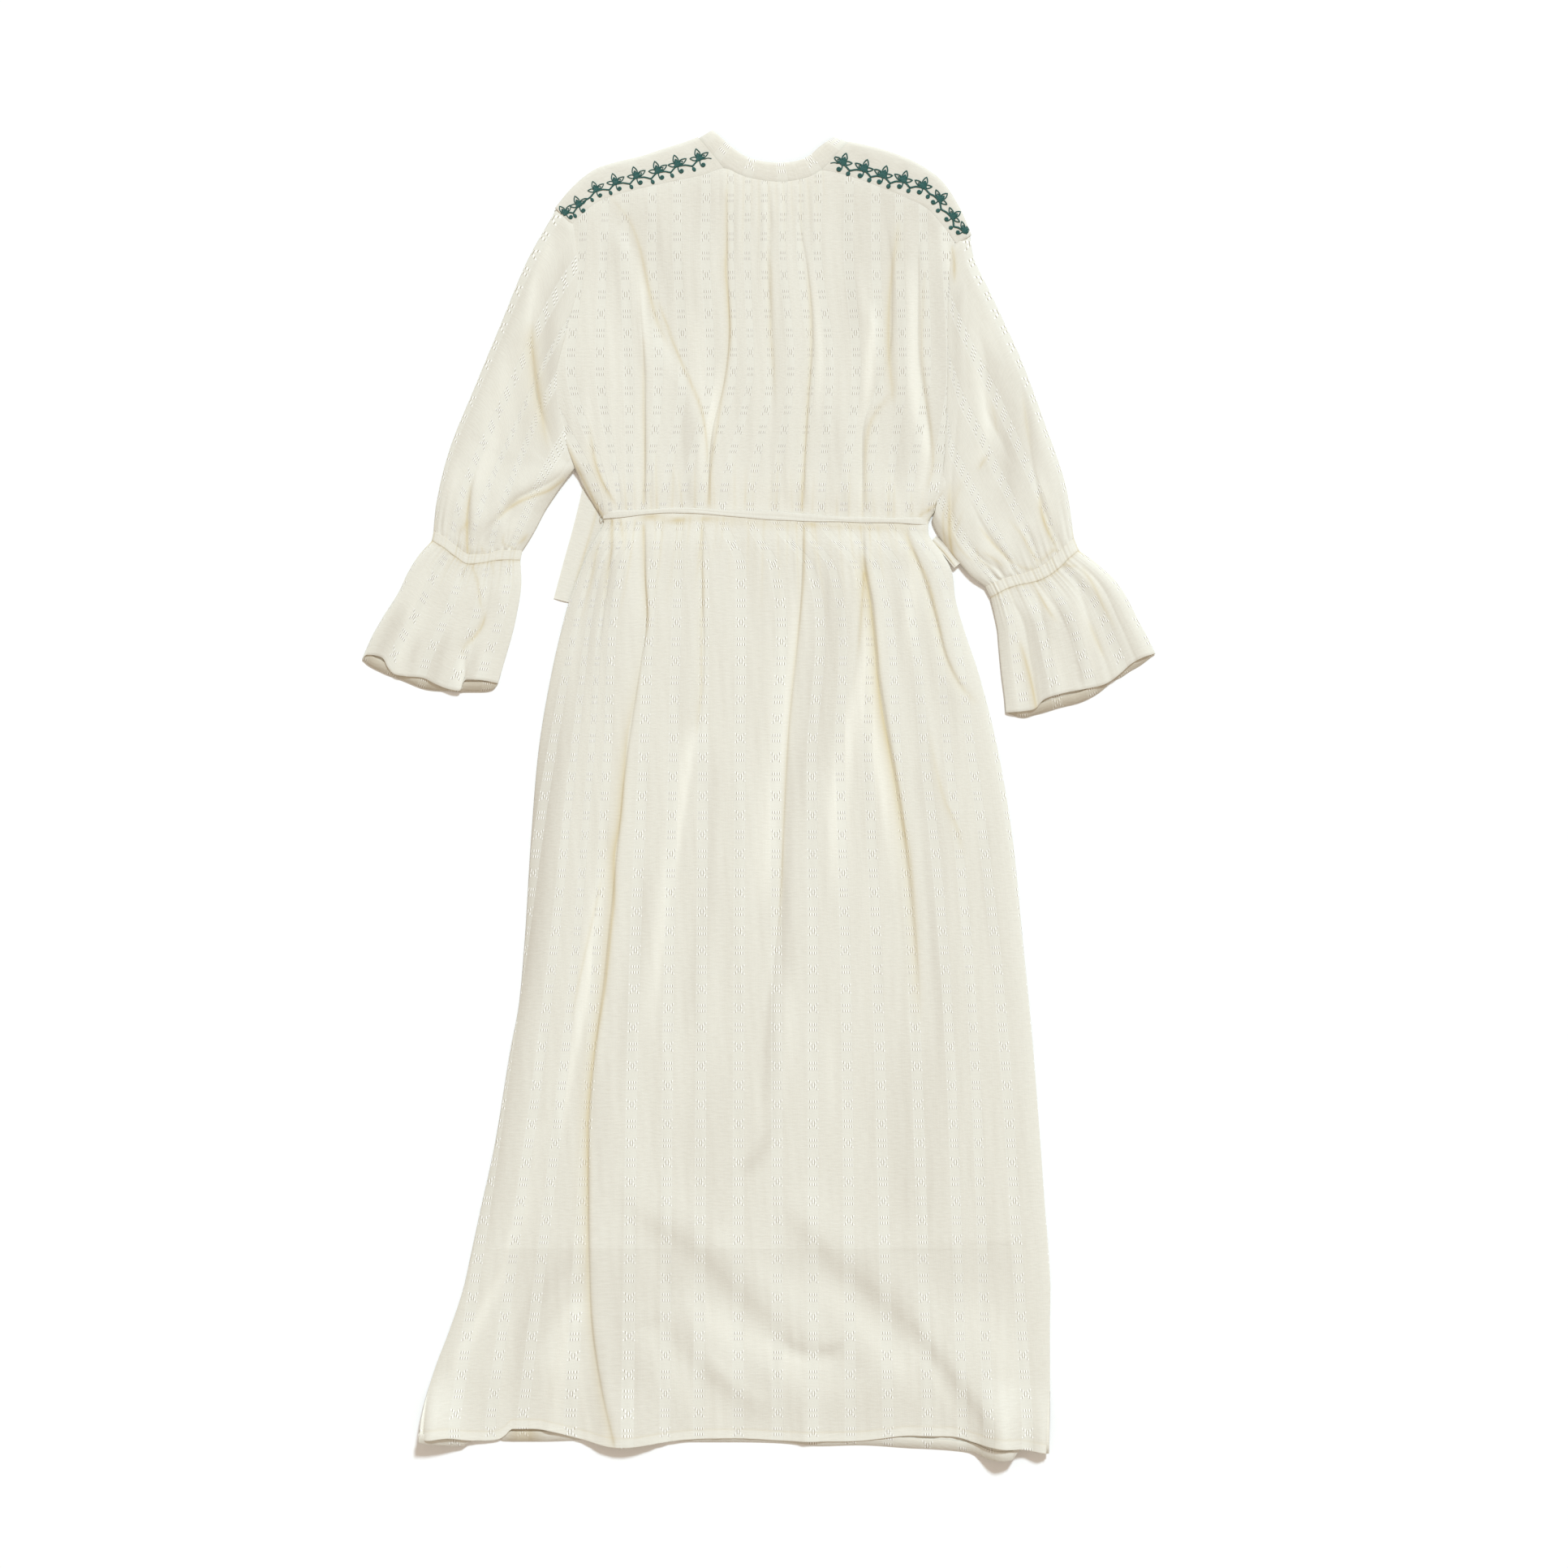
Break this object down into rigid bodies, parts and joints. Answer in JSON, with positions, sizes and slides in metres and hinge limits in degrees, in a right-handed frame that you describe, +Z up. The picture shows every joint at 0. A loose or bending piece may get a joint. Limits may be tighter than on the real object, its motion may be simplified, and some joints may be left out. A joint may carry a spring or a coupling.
{
  "type": "embroidered maxi dress",
  "caption": "Long-sleeved cotton maxi dress laid flat with its back up: band collar, embroidered shoulder yokes, narrow waist tie and flounced cuffs.",
  "frame": {"origin": "centre of the laid-out dress on the surface that it lies on", "axes": "+Y from hem to collar, +X to the right as seen from above, +Z up, out of the dress's back"},
  "size_m": [0.7788, 1.307, 0.0235],
  "materials": {
    "cream_cotton": "soft crinkled cotton double gauze with a woven dobby stripe, matt with slightly glossy floats",
    "embroidered_cotton": "the same cotton with dark teal embroidery along its seam",
    "lining_cotton": "plain fine cotton voile"
  },
  "bodies": {
    "root": {"front": "cream_cotton", "lining": "lining_cotton", "back": "cream_cotton", "yoke_left": "embroidered_cotton", "yoke_right": "embroidered_cotton", "collar": "cream_cotton", "sleeve_left": "cream_cotton", "sleeve_right": "cream_cotton", "casing_left": "cream_cotton", "casing_right": "cream_cotton", "flounce_left": "cream_cotton", "flounce_right": "cream_cotton", "belt": "cream_cotton", "tie_end_left": "cream_cotton", "tie_end_right": "cream_cotton"}
  },
  "joints": []
}
